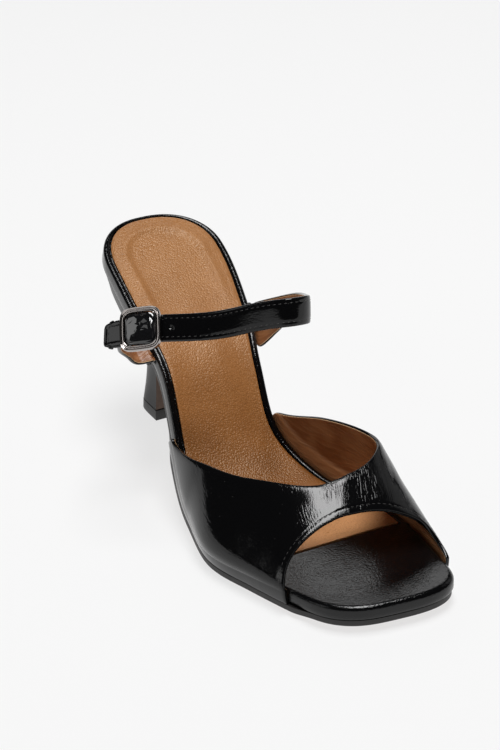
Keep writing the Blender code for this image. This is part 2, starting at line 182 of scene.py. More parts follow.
def board(share):
    """Thickness of the wrapped footbed."""
    return SEAT_BOARD + (FOREPART_BOARD - SEAT_BOARD) * ease(share, *BOARD_THINS)


def on_footbed(share, across, above=0.0, up=0.0):
    """Points at shares and distances across, raised square to the footbed or up."""
    share = share + TOE_SKEW * across / FOOT_LENGTH * ease(share, *SKEW_STARTS)
    slope = np.interp(share, SHARES, SLOPES)
    beyond = np.maximum(share - 1.0, 0.0) * FOOT_LENGTH
    forward = np.interp(share, SHARES, FORWARD) + beyond
    height = np.interp(share, SHARES, HEIGHT) - beyond * math.tan(SLOPES[-1])
    along = -(forward + above * np.sin(slope))
    return np.stack(np.broadcast_arrays(across, along, height + up + above * np.cos(slope)), axis=-1)


def end_curve(share):
    """1 along the footbed, falling to 0 round the heel and the squared toe."""
    heel_power = HEEL_CURVE["squareness"]
    toe_power = TOE_CURVE["squareness"]
    heel = np.clip(1 - share / HEEL_CURVE["until"], 0, 1) ** heel_power
    toe = np.clip((share - TOE_CURVE["from"]) / (1 - TOE_CURVE["from"]), 0, 1) ** toe_power
    return (1 - heel) ** (1 / heel_power) * (1 - toe) ** (1 / toe_power)


def half_width(side, share):
    wide = SEAT_WIDTH + (BALL_WIDTH - SEAT_WIDTH) * ease(share, *WAIST)
    sides = ("big_toe_side", "little_toe_side")
    big, little = [through(FOOTBED["share"], FOOTBED[name], share) for name in sides]
    return np.where(np.asarray(side) > 0, big, little) * wide


def rim_point(side, share, inset, above, across=1.0):
    """Points a distance in from the footbed's rim, all the way round it."""
    shrink = inset / FOOT_LENGTH
    place = shrink + (1 - 2 * shrink) * share
    return on_footbed(place, side * across * (half_width(side, place) - inset) * end_curve(share), above)


def stations(start, end, count):
    """Shares from start to end, closer together at both ends."""
    return start + (end - start) * (0.5 - 0.5 * np.cos(np.linspace(0.0, math.pi, count + 1)))


def grid_piece(name, columns, rows, place, finishes, sharp=40.0, ends=False, paint=None):
    """A piece from a grid of faces. place takes each vertex's column and row and gives its point and its two
    measures along the leather, kept as a UV map. paint names the material of each row of faces."""
    shape = bmesh.new()
    leather = shape.loops.layers.uv.new("leather")
    bmesh.ops.create_grid(shape, x_segments=columns, y_segments=rows, size=0.5)
    flat = np.array([vertex.co for vertex in shape.verts]) + 0.5
    column, row = np.rint(flat[:, :2] * (columns, rows)).astype(int).T
    points, measures = place(column, row)
    points = (points + PLACE) * MM
    for vertex, point in zip(shape.verts, points):
        vertex.co = point
    shape.verts.index_update()
    for patch in shape.faces:
        patch.smooth = True
        if paint is not None:
            patch.material_index = paint[min(row[vertex.index] for vertex in patch.verts)]
        for loop in patch.loops:
            loop[leather].uv = measures[loop.vert.index]
    bmesh.ops.remove_doubles(shape, verts=shape.verts, dist=MERGE)
    bmesh.ops.dissolve_degenerate(shape, edges=shape.edges, dist=MERGE / 5)
    if ends:
        open_ends = [edge for edge in shape.edges if edge.is_boundary]
        for patch in bmesh.ops.holes_fill(shape, edges=open_ends, sides=0)["faces"]:
            patch.smooth = False
    bmesh.ops.recalc_face_normals(shape, faces=shape.faces)
    return piece_from(name, shape, finishes, sharp)


def piece_from(name, shape, finishes, sharp=40.0):
    """The finished bmesh as an object at the origin, with its materials."""
    mesh = bpy.data.meshes.new(name)
    shape.to_mesh(mesh)
    shape.free()
    mesh.set_sharp_from_angle(angle=math.radians(sharp))
    for finish in finishes:
        mesh.materials.append(finish)
    made = bpy.data.objects.new(name, mesh)
    bpy.context.scene.collection.objects.link(made)
    return made


def stands_for(piece, node):
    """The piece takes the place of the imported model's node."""
    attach(piece, "root")
    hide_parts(node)


def layer_piece(name, shares, profile, finishes, **settings):
    """A sheet that follows the footbed. The half profile, from the middle of the top round to the middle
    below, is a list of inset, height above and share across, repeated on the other side."""
    half = len(profile(shares))
    inset, above, across = (
        np.stack([np.broadcast_to(station[i], shares.shape) for station in profile(shares)]) for i in range(3)
    )

    def place(column, row):
        side = np.where(row < half, 1, -1)
        station = np.where(row < half, row, 2 * half - 2 - row)
        where = (station, column)
        points = rim_point(side, shares[column], inset[where], above[where], across[where])
        measures = np.stack([shares[column] * FOOT_LENGTH, points[:, 0]], axis=-1)
        return points, measures

    return grid_piece(name, len(shares) - 1, 2 * half - 2, place, finishes, **settings)


class Wire:
    """One value in a material. Arithmetic adds Math nodes, and node() any other kind."""

    def __init__(self, tree, socket=None):
        self.tree = tree
        self.socket = socket

    def node(self, kind, settings=None, values=None, output=0):
        made = self.tree.nodes.new(kind)
        for name, setting in (settings or {}).items():
            setattr(made, name, setting)
        for name, value in (values or {}).items():
            if isinstance(value, Wire):
                self.tree.links.new(value.socket, made.inputs[name])
            else:
                made.inputs[name].default_value = value
        return Wire(self.tree, made.outputs[output])

    def maths(self, operation, *values):
        return self.node("ShaderNodeMath", {"operation": operation}, dict(enumerate(values)))

    def larger(self, other):
        return self.maths("MAXIMUM", self, other)

    def __add__(self, other):
        return self.maths("ADD", self, other)

    def __sub__(self, other):
        return self.maths("SUBTRACT", self, other)

    def __rsub__(self, other):
        return self.maths("SUBTRACT", other, self)

    def __mul__(self, other):
        return self.maths("MULTIPLY", self, other)

    __radd__ = __add__
    __rmul__ = __mul__

    def smooth(self, start, end):
        """0 below start, 1 above end and a smooth rise between."""
        limits = {"Value": self, "From Min": start, "From Max": end}
        return self.node("ShaderNodeMapRange", {"interpolation_type": "SMOOTHSTEP"}, limits)

    def mix(self, first, second):
        """The first colour where this is 0 and the second where it is 1."""
        return self.node("ShaderNodeMix", {"data_type": "RGBA"}, {0: self, 6: first, 7: second}, output=2)

    def noise(self, size, stretch=(1.0, 1.0, 1.0), detail=2.0, distortion=0.0, turn=0.0):
        """Cloudy values about 0.5 in patches of about this many millimetres, stretched by three factors and
        turned about the third axis by an angle in degrees."""
        look = {"Scale": [size * MM * s for s in stretch], "Rotation": (0.0, 0.0, math.radians(turn))}
        placed = self.node("ShaderNodeMapping", {"vector_type": "TEXTURE"}, {"Vector": self, **look})
        look = {"Scale": 1.0, "Detail": detail, "Distortion": distortion}
        return self.node("ShaderNodeTexNoise", {}, {"Vector": placed, **look})

    def near(self, spot, start, end):
        """0 further than start from a spot and 1 nearer than end."""
        between = {0: self, 1: spot}
        away = self.node("ShaderNodeVectorMath", {"operation": "DISTANCE"}, between, output="Value")
        return away.smooth(start, end)

    def cells(self, size, feature="DISTANCE_TO_EDGE"):
        """Distances in a field of cells about this many millimetres wide."""
        values = {"Vector": self, "Scale": 1 / (size * MM)}
        return self.node("ShaderNodeTexVoronoi", {"feature": feature}, values)


def colour(red, green, blue):
    """A shader's colour from the 0 to 255 values of a screen."""
    parts = [value / 255 for value in (red, green, blue)]
    return (*[part / 12.92 if part <= 0.04045 else ((part + 0.055) / 1.055) ** 2.4 for part in parts], 1.0)


def finish(name, build=None, **constants):
    """A material on one Principled shader. build gets the object coordinates and gives what varies on it."""
    made = bpy.data.materials.new(name)
    made.use_nodes = True
    tree = made.node_tree
    shader = tree.nodes["Principled BSDF"]
    for socket, value in constants.items():
        shader.inputs[socket.replace("_", " ")].default_value = value
    if build:
        start = Wire(tree)
        where = start.node("ShaderNodeTexCoord", output="Object")
        for socket, wire in build(where).items():
            tree.links.new(wire.socket, shader.inputs[socket.replace("_", " ")])
    return made


def bump(height, depth):
    """Relief of this many millimetres where the height goes from 0 to 1."""
    return height.node("ShaderNodeBump", {}, {"Height": height, "Distance": depth * MM, "Strength": 1.0})


def patent(name, crinkle=1.0, clouds=1.0, leather=False, gathers=()):
    """Black patent leather: a clear gloss over a fine crinkle that breaks its reflections. clouds is how
    patchy that is. leather lays it along the piece's own measures, and gathers are spots on them where it
    deepens, each with its reach."""

    def build(where):
        patches = where.noise(8.0, detail=1.0).smooth(0.40, 0.66) * clouds + (1 - clouds) * 0.5
        if leather:
            spread = where.node("ShaderNodeUVMap", {"uv_map": "leather"})
            lines = spread.noise(0.85 / MM, stretch=(5.0, 1.0, 1.0), detail=1.0, distortion=0.7)
            for along, around, reach in gathers:
                patches = patches.larger(spread.near((along, around, 0.0), reach, reach / 3) * 2.2)
        else:
            lines = where.noise(0.65, stretch=(1.6, 1.0, 1.0), detail=1.0, distortion=0.5)
        grain = where.noise(0.55, detail=1.0)
        relief = (lines - 0.5) * (patches * 0.75 + 0.25) + (grain - 0.5) * (patches * 0.3 + 0.2)
        specks = where.cells(2.3, feature="F1").smooth(0.10, 0.05)
        specks = specks * where.noise(6.0).smooth(0.5, 0.62) * 0.3
        return {
            "Base_Color": specks.mix(colour(7, 7, 8), colour(110, 108, 106)),
            "Roughness": grain * 0.05 + 0.07,
            "Normal": bump(relief, 0.075 * crinkle),
        }

    return finish(name, build, Specular_IOR_Level=0.38)


def rim_width(share):
    """Width of the rim round the sock, slimmer behind the heel."""
    return RIM - RIM_NARROWS["by"] * (1 - ease(share, 0.0, RIM_NARROWS["until"]))


def footbed_profile(share):
    ahead = share > SOCK_END
    sunk = np.where(ahead, 0.0, -SOCK_SINK)
    inner = rim_width(share) - GAP
    section = [(inner + GAP, sunk, place) for place in [*np.linspace(0.0, 0.97, 9), 1.0]]
    for turn in np.radians(np.linspace(0.0, 180.0, 17)):
        bead = (inner * (1 + math.cos(turn)) / 2, -RIM_BEAD * (1 - math.sin(turn)))
        level = max(math.cos(turn), 0.0)
        drop = min(math.cos(turn), 0.0)
        flush = (TOE_ROUND + (inner - TOE_ROUND) * level, 0.0)
        if drop < 0:
            flush = (TOE_ROUND * (1 + drop), -TOE_ROUND * (1 - math.sin(turn)))
        section.append((np.where(ahead, flush[0], bead[0]), np.where(ahead, flush[1], bead[1]), 1.0))
    thick = board(share)
    below = LOWER_ROUND * (1 - math.sqrt(0.5))
    return section + [
        (0.0, -thick / 2 - 0.5, 1.0), (0.0, LOWER_ROUND - thick, 1.0), (below, below - thick, 1.0),
        (LOWER_ROUND, -thick, 1.0), (LOWER_ROUND, -thick, 0.55), (LOWER_ROUND, -thick, 0.0),
    ]


sock_edge = (SOCK_END, SOCK_END + GAP / FOOT_LENGTH)
along = stations(0.0, 1.0, 300)
along = np.array(sorted([*along[abs(along - SOCK_END) > 0.002], *sock_edge]))
even_patent = patent("patent_footbed", crinkle=2.0, clouds=0.2)
footbed = layer_piece("footbed_finish", along, footbed_profile, [even_patent])
stands_for(footbed, "footbed")

# Sock: the tan leather insole over a thin foam, glued into the rim. It is satin, finely grained and straight
# across in front, with a horseshoe ridge round the heel's pad and a shallow valley where the arch stands.
SOCK = 1.2
SOCK_EDGE_SINK = 0.45
SOCK_SOFT_EDGE = 2.4
HEEL_RIDGE = {"in_from_rim": 7.5, "width": 2.6, "height": 0.5, "fades": (0.16, 0.25)}
HEEL_PAD = {"depth": 0.45, "slope": 4.0, "fades": (0.16, 0.26)}
ARCH_VALLEY = {"across": 9.0, "width": 6.0, "depth": 0.7, "share": 0.36, "length": 0.16}


def sock_height(side, share, across_share):
    """Height of the sock's face over the footbed, with its ridge, pad and valley."""
    inset = rim_width(share) + GAP
    half = (half_width(side, share) - inset) * end_curve(share)
    across = side * half * across_share
    power = HEEL_CURVE["squareness"]
    to_back = np.clip(1 - share / HEEL_CURVE["until"], 0, 1)
    nested = ((end_curve(share) * across_share) ** power + to_back**power) ** (1 / power)
    from_edge = (1 - nested) * SEAT_WIDTH / 2
    soft = np.clip(from_edge / SOCK_SOFT_EDGE, 0, 1)
    top = GAP - SOCK_SINK + SOCK - SOCK_EDGE_SINK * (1 - soft) ** 2
    near = 1 - ease(share, *HEEL_RIDGE["fades"])
    ridge = HEEL_RIDGE["height"] * hump(from_edge, HEEL_RIDGE["in_from_rim"], HEEL_RIDGE["width"]) * near
    inside = ease(from_edge, HEEL_RIDGE["in_from_rim"], HEEL_RIDGE["in_from_rim"] + HEEL_PAD["slope"])
    pad = HEEL_PAD["depth"] * inside * (1 - ease(share, *HEEL_PAD["fades"]))
    valley = hump(across, ARCH_VALLEY["across"], ARCH_VALLEY["width"])
    valley = ARCH_VALLEY["depth"] * valley * hump(share, ARCH_VALLEY["share"], ARCH_VALLEY["length"])
    return top + (ridge - pad - valley) * soft


def sock_profile(share):
    edge = rim_width(share) + GAP
    low = GAP - SOCK_SINK
    return [
        *[(edge, sock_height(1, share, place), place) for place in np.linspace(0.0, 1.0, 33) ** 0.8],
        (edge, low + 0.1, 1.0), (edge, low, 0.98), (edge, low, 0.5), (edge, low, 0.0),
    ]


# Sock tones along its length: the golden arch is the leather's own colour. The paler heel is partly its own
# tone and partly painted light. The paler front is painted light falling in past the vamp.
SOCK_COLOURS = {
    "light": {"arch": colour(136, 82, 28), "front": colour(206, 150, 102), "heel": colour(172, 120, 74)},
    "dark": {"arch": colour(118, 69, 26), "front": colour(182, 130, 86), "heel": colour(156, 106, 62)},
}
SOCK_SHADE = {"heel": (-0.045, 0.085), "front": (-0.012, -0.042)}


def tan_sock(where):
    """Tan leather, golden in the arch, with pebbles and fine wrinkles. It is paler at the heel, partly its
    own tone and partly painted light, and paler in front as painted light that falls in past the vamp.
    """
    back = where.node("ShaderNodeSeparateXYZ", {}, {"Vector": where}, output="Y")
    heel_tone_and_painted_light, front_painted_light = back.smooth(*SOCK_SHADE["heel"]), back.smooth(*SOCK_SHADE["front"])
    light, dark = [
        heel_tone_and_painted_light.mix(front_painted_light.mix(tone["arch"], tone["front"]), tone["heel"]) for tone in SOCK_COLOURS.values()
    ]
    mottled = (where.noise(16.0).smooth(0.3, 0.7) * 0.5).mix(light, dark)
    pebbles = where.cells(0.8, feature="F1")
    valleys = where.cells(0.8).smooth(0.12, 0.0)
    grain = where.noise(0.4)
    wrinkle = where.noise(3.2, stretch=(2.6, 1.0, 1.0))
    return {
        "Base_Color": (valleys * 0.4).mix(mottled, colour(112, 68, 34)),
        "Roughness": 0.46 - pebbles * 0.22,
        "Normal": bump(grain * 0.2 + wrinkle * 0.06 - pebbles, 0.16),
    }


WARM_SHEEN = {"Specular_IOR_Level": 0.40, "Specular_Tint": (1.0, 0.80, 0.60, 1.0)}
tan_leather = finish("tan_sock", tan_sock, **WARM_SHEEN)
sock_shares = stations(0.0, SOCK_END - 2 * GAP / FOOT_LENGTH, 240)
sock = layer_piece("sock_finish", sock_shares, sock_profile, [tan_leather], ends=True)
stands_for(sock, "sock")

# Outsole: thin leather board with a black edge and a brown buffed face, cemented under the footbed from the
# heel's front to the toe, with a flat where the ball rests on the floor.
OUTSOLE_ROUND = 0.6
OUTSOLE_INSET = 0.7
VAMP_WALL = 1.7
VAMP_GAP = 0.4
BREAST_GAP = 1.2
WIDER_BESIDE_VAMP = {"starts": (0.44, 0.5), "ends": (0.9, 0.95)}
SOLE_FACE_DOWN = -0.6


def outsole_profile(share):
    top = -board(share) - GAP
    beside_vamp = ease(share, *WIDER_BESIDE_VAMP["starts"]) * (1 - ease(share, *WIDER_BESIDE_VAMP["ends"]))
    edge = OUTSOLE_INSET - (OUTSOLE_INSET + VAMP_GAP + VAMP_WALL / 2) * beside_vamp
    low = top - OUTSOLE
    corner = [
        (edge + OUTSOLE_ROUND * (1 - math.cos(turn)), low + OUTSOLE_ROUND * (1 - math.sin(turn)), 1.0)
        for turn in np.radians(np.linspace(0.0, 90.0, 5))
    ]
    under = [(edge + OUTSOLE_ROUND, low, place) for place in np.linspace(0.97, 0.0, 9)]
    return [(edge, top, 0.0), (edge, top, 0.6), (edge, top, 0.99), (edge, top, 1.0), *corner, *under]


def buffed_sole(where):
    fibre = where.noise(1.2, stretch=(1.0, 7.0, 1.0), detail=3.0)
    scuff = where.noise(11.0, detail=3.0).smooth(0.42, 0.72)
    tone = fibre.smooth(0.3, 0.7).mix(colour(98, 70, 54), colour(128, 94, 72))
    return {
        "Base_Color": (scuff * 0.35).mix(tone, colour(84, 60, 46)),
        "Roughness": 0.75 - scuff * 0.15,
        "Normal": bump(fibre, 0.12),
    }


def painted_edge(where):
    brush = where.noise(1.6, stretch=(1.0, 1.0, 3.0))
    return {"Base_Color": brush.mix(colour(22, 20, 20), colour(34, 31, 30)), "Roughness": 0.4 + brush * 0.2}


outsole_shares = stations((SEAT_LENGTH + BREAST_GAP) / FOOT_LENGTH, 1.0, 200)
outsole = layer_piece(
    "outsole_finish", outsole_shares, outsole_profile,
    [finish("sole_edge", painted_edge), finish("sole_face", buffed_sole)], ends=True,
)
for vertex in outsole.data.vertices:
    vertex.co.z = max(vertex.co.z, 0.0)
for patch in outsole.data.polygons:
    if patch.normal.z < SOLE_FACE_DOWN:
        patch.material_index = 1
stands_for(outsole, "outsole")

# Heel: moulded and covered in black leather, slim in the middle, flared at its foot and cupped under the
# seat, with a flat front faced in brown. It is screwed up into the footbed's seat.
TOP_LIFT = 5.3
HEEL_INSET = 1.2
COLLAR = 1.7
HEEL = {
    "back_height": (0.0, 0.096, 0.2, 0.316, 0.431, 0.53, 0.627, 0.726, 0.818),
    "back": (0.16, 0.153, 0.153, 0.158, 0.154, 0.132, 0.095, 0.052, 0.029),
    "front_height": (0.0, 0.096, 0.2, 0.316, 0.426, 0.506, 0.561, 0.597, 0.625),
    "front": (0.455, 0.425, 0.395, 0.364, 0.341, 0.329, 0.368, 0.492, 0.734),
    "half_width": (0.128, 0.103, 0.086, 0.078, 0.082, 0.105, 0.169, 0.276, 0.414),
    "squareness": (6.0, 4.2, 3.5, 3.1, 2.9, 2.7, 2.5, 2.4, 2.35),
    "seat": (0.0, 0.0, 0.0, 0.0, 0.0, 0.05, 0.2, 0.5, 0.85),
}
HEEL_FOOT = TOP_LIFT + GAP
HEEL_LEVELS = 100
CUP_LEVELS = 9
COLLAR_LEVELS = 3
HEEL_SIDE = 40
HEEL_FRONT = 12
HEEL_RING = 2 * HEEL_SIDE + HEEL_FRONT
HEEL_CROWDING = 1.6
BREAST_LOOKS = {"forward": 0.80, "aside": 0.15}


def heel_column(level, side, q):
    """Points of the column: level from the top lift to the cup, q from the back to the front, both 0 to 1."""
    rows = np.linspace(0.0, 1.0, len(HEEL["back"]))
    row = {name: through(rows, values, level) for name, values in HEEL.items()}
    power = row["squareness"]
    wide = HEEL_MIDDLE + side * row["half_width"] * SEAT_WIDTH * (1 - (1 - q) ** power) ** (1 / power)
    forward = (row["back"] + (row["front"] - row["back"]) * q) * SEAT_LENGTH
    height = row["back_height"] + (row["front_height"] - row["back_height"]) * q
    seat = rim_point(side, forward / math.cos(SLOPES[0]) / FOOT_LENGTH, HEEL_INSET, 0.0)[:, 0]
    across = wide + (seat - wide) * row["seat"]
    return np.stack([across, -forward, HEEL_FOOT + height * (SEAT_HEIGHT - HEEL_FOOT)], axis=-1)


def heel_place(column, row):
    turn = column % HEEL_RING
    side = np.where(turn < HEEL_SIDE, -1, 1)
    q = np.clip(np.abs(turn - HEEL_SIDE) / HEEL_SIDE, 0, 1) ** HEEL_CROWDING
    cup = HEEL_LEVELS - CUP_LEVELS - COLLAR_LEVELS
    level = np.clip(row / cup, 0, 1)

    def ring_at(side, q):
        shaped = heel_column(level, side, q)
        rise = np.clip((row - cup) / CUP_LEVELS, 0, 1)
        collar = np.clip((row - cup - CUP_LEVELS) / COLLAR_LEVELS, 0, 1)
        above = -SEAT_BOARD - GAP - COLLAR * (1 - collar)
        seat = rim_point(side, SEAT_LENGTH / FOOT_LENGTH * q, HEEL_INSET, above)
        return shaped + (seat - shaped) * rise[:, None]

    ones = np.ones(len(row))
    around, far, near = ring_at(side, q), ring_at(ones, ones), ring_at(-ones, ones)
    back = np.clip((turn - 2 * HEEL_SIDE) / HEEL_FRONT, 0, 1)[:, None]
    points = np.where(turn[:, None] > 2 * HEEL_SIDE, far + (near - far) * back, around)
    return points, np.stack([points[:, 0] + points[:, 1], points[:, 2]], axis=-1)


def covered_heel(where):
    grain = where.noise(0.5)
    swell = where.noise(12.0, detail=1.0)
    return {
        "Base_Color": grain.mix(colour(14, 14, 15), colour(20, 20, 21)),
        "Roughness": grain * 0.08 + 0.26,
        "Normal": bump(grain * 0.2 + swell, 0.12),
    }


def heel_breast(where):
    grain = where.noise(0.9, stretch=(1.0, 1.0, 4.0), detail=3.0)
    return {"Base_Color": grain.mix(colour(78, 60, 49), colour(100, 78, 63)), "Normal": bump(grain, 0.06)}


heel = grid_piece(
    "heel_finish", HEEL_RING, HEEL_LEVELS, heel_place,
    [
        finish("heel_cover", covered_heel, Specular_IOR_Level=0.22),
        finish("heel_front", heel_breast, Roughness=0.5),
    ],
    sharp=35.0, ends=True,
)
for patch in heel.data.polygons:
    if patch.normal.y < -BREAST_LOOKS["forward"] and abs(patch.normal.x) < BREAST_LOOKS["aside"]:
        patch.material_index = 1
stands_for(heel, "heel")

# Top lift: the hard black rubber plate that the heel stands on, pinned to it and a little wider than the
# heel's foot.
TOP_LIFT_BEVEL = 0.6
TOP_LIFT_SPREAD = 1.05
LIFT_SECTION = {
    "height": (0.0, 0.25, TOP_LIFT_BEVEL, TOP_LIFT - 0.4, TOP_LIFT - 0.1, TOP_LIFT),
    "spread": (1.015, 1.035, TOP_LIFT_SPREAD, 1.02, 1.01, 0.98),
}


def at_row(section, row):
    """Each of a section's measures at the rows."""
    return [np.array(values)[row] for values in section.values()]


def lift_place(column, row):
    ring, _ = heel_place(column, np.zeros(len(row), int))
    whole, _ = heel_place(np.arange(HEEL_RING), np.zeros(HEEL_RING, int))
    middle = whole.mean(axis=0)
    height, spread = at_row(LIFT_SECTION, row)
    points = middle + (ring - middle) * spread[:, None]
    points[:, 2] = height
    return points, points[:, :2]


def hard_rubber(where):
    grain = where.noise(0.7, detail=3.0)
    return {"Base_Color": grain.mix(colour(20, 20, 20), colour(32, 31, 31)), "Normal": bump(grain, 0.05)}


top_lift = grid_piece(
    "top_lift_finish", HEEL_RING, len(LIFT_SECTION["height"]) - 1, lift_place,
    [finish("lift_rubber", hard_rubber, Roughness=0.45)], sharp=60.0, ends=True,
)
stands_for(top_lift, "top_lift")

# Vamp: one piece of black patent lined in tan, lasted over the toes and closed between footbed and outsole.
# Throat and peep are cut edges with a thin light line, and the peep has a row of stitches 2 mm in.
VAMP_HEIGHT = 64.0
VAMP = {
    "share": (0.4, 0.5, 0.6, 0.7, 0.8, 0.9, 1.0),
    "height": (1.08, 0.986, 1.014, 0.741, 0.464, 0.238, 0.175),
}
RIDGE = {"share": (0.5, 0.7, 0.9), "across": (0.96, 0.515, -0.14)}
LITTLE_TOE_ARCH = {"out": 1.68, "up": 1.5}
BIG_TOE_ARCH = {"out": 2.77, "up": 2.24}
THROAT = {
    "around": (0.0, 0.08, 0.2, 0.35, 0.5, 0.65, 0.8, 0.92, 1.0),
    "share": (0.463, 0.519, 0.661, 0.775, 0.79, 0.757, 0.683, 0.549, 0.468),
}
PEEP = {
    "around": (0.0, 0.1, 0.25, 0.4, 0.55, 0.7, 0.85, 1.0),
    "share": (0.896, 0.89, 0.86, 0.847, 0.849, 0.86, 0.872, 0.911),
}
SIDES_STRAIGHT = 0.93
GIRTH = 150.0
VAMP_SIDE = 8
VAMP_OVER = 204
VAMP_ALONG = 80
EDGE_STEPS = 8
END_STEPS = 3
EVENED = 0.02
STITCH_SINK = 0.14
PEEP_ROW = {"in": 2.0, "groove": 0.5, "ends": 4.0}
CREASES = {
    "around": (0.405, 0.44, 0.53, 0.555, 0.58, 0.605, 0.63, 0.15, 0.20, 0.70, 0.78, 0.86, 0.08),
    "share": (0.80, 0.815, 0.80, 0.808, 0.80, 0.81, 0.80, 0.60, 0.66, 0.79, 0.76, 0.72, 0.73),
    "turn": (6.0, -5.0, 4.0, 8.0, 3.0, 10.0, 5.0, 14.0, 20.0, -20.0, -26.0, -30.0, 0.0),
    "long": (9.0, 7.0, 8.0, 7.0, 8.0, 6.0, 8.0, 16.0, 14.0, 10.0, 12.0, 16.0, 28.0),
    "wide": (1.6, 1.1, 0.9, 0.8, 1.0, 0.8, 1.0, 4.0, 3.2, 2.2, 2.4, 3.0, 13.0),
    "deep": (0.22, -0.06, 0.08, 0.06, 0.10, 0.06, 0.10, 0.12, -0.08, 0.12, -0.10, 0.16, -2.3),
}
EDGE_ROLL = {"deep": 0.4, "wide": 3.0, "fades": 0.12}
VAMP_NOSE = 0.35
ROUNDER = {"by": 3.5, "starts": (0.48, 0.60), "ends": (0.80, 1.05)}
TUCK_UNDER = 0.8
HEART = 8.0


def outside(side, share, distance):
    """Distance across to a line that stays a true distance out from the footbed's side."""
    share = np.minimum(share, SIDES_STRAIGHT)
    edge = half_width(side, share) * end_curve(share)
    reach = 0.01
    lean = (half_width(side, share + reach) - half_width(side, share - reach)) / (2 * reach * FOOT_LENGTH)
    return edge + distance * np.sqrt(1 + lean * lean)


def arch_point(share, around):
    little = outside(-1, share, VAMP_GAP + VAMP_WALL)
    big = outside(1, share, VAMP_GAP + VAMP_WALL)
    ridge = through(RIDGE["share"], RIDGE["across"], share) * big
    left = around < 0.5
    out_power = np.where(left, 2 / LITTLE_TOE_ARCH["out"], 2 / BIG_TOE_ARCH["out"])
    up_power = np.where(left, 2 / LITTLE_TOE_ARCH["up"], 2 / BIG_TOE_ARCH["up"])
    up = np.abs(np.sin(around * math.pi)) ** up_power
    tall = through(VAMP["share"], VAMP["height"], share) * VAMP_HEIGHT
    rounder = ROUNDER["by"] * ease(share, *ROUNDER["starts"]) * (1 - ease(share, *ROUNDER["ends"]))
    rounder = 0.01 + rounder * left
    held_up = (np.hypot(tall * up, rounder) - rounder) / (np.hypot(tall, rounder) - rounder)
    out = np.sqrt(np.clip(1 - held_up ** (2 / up_power), 0, 1)) ** out_power
    across = np.where(left, ridge - (little + ridge) * out, ridge + (big - ridge) * out)
    return on_footbed(share, across, 0.0, tall * up)


def edge_share(table, around):
    """The share of the throat's or peep's edge, its curve evened out over a short way round."""
    reach = np.minimum(EVENED, np.minimum(around, 1 - around) / 2)
    spots = [around + reach * step for step in (-2, -1, 0, 1, 2)]
    return sum(through(table["around"], table["share"], spot) for spot in spots) / len(spots)


def vamp_spot(column, v):
    """Of a column of the vamp and v, 0 at the throat and 1 at the peep: place round the arch, share and reach
    down past the footbed's upper face."""
    turn = np.cos(math.pi * np.clip((column - VAMP_SIDE) / VAMP_OVER, 0, 1))
    around = 0.5 - turn * (3 + turn * turn) / 8
    low = FOREPART_BOARD * np.maximum(VAMP_SIDE - column, column - VAMP_SIDE - VAMP_OVER) / VAMP_SIDE
    throat, peep = edge_share(THROAT, around), edge_share(PEEP, around)
    return around, throat + (peep - throat) * v, low


def crease_depth(around, share):
    """How deep the listed creases lie below the smooth arch."""
    depth = 0.0
    for at, along, turn, long, wide, deep in zip(*CREASES.values()):
        over = (around - at) * GIRTH
        ahead = (share - along) * FOOT_LENGTH
        c, s = math.cos(math.radians(turn)), math.sin(math.radians(turn))
        depth = depth + deep * hump(ahead * c + over * s, 0, long) * hump(over * c - ahead * s, 0, wide)
    return depth


def vamp_face(column, v):
    around, share, low = vamp_spot(column, v)
    side = np.where(column < VAMP_SIDE, -1, 1)
    creased = crease_depth(around, share)
    below = low.clip(0) / FOREPART_BOARD
    beside = outside(side, share, VAMP_GAP + VAMP_WALL) - creased * (1 - below) - TUCK_UNDER * below**2
    down = on_footbed(share, side * beside, -low)
    arch = arch_point(share, around)
    to_peep = (edge_share(PEEP, around) - share) * FOOT_LENGTH
    to_throat = (share - edge_share(THROAT, around)) * FOOT_LENGTH
    rolled = sum(np.clip(1 - reach / EDGE_ROLL["wide"], 0, 1) ** 2 for reach in (to_throat, to_peep))
    over = ease(around, 0.0, EDGE_ROLL["fades"]) * (1 - ease(around, 1 - EDGE_ROLL["fades"], 1.0))
    sewn = STITCH_SINK * hump(to_peep, PEEP_ROW["in"], PEEP_ROW["groove"])
    inward = unit(on_footbed(share, 0.0, HEART) - arch)
    worn = arch + inward * (creased + sewn + EDGE_ROLL["deep"] * rolled * over)[:, None]
    return np.where((low > 0)[:, None], down, worn)


CUT_EDGE = (0.87, 0.99)


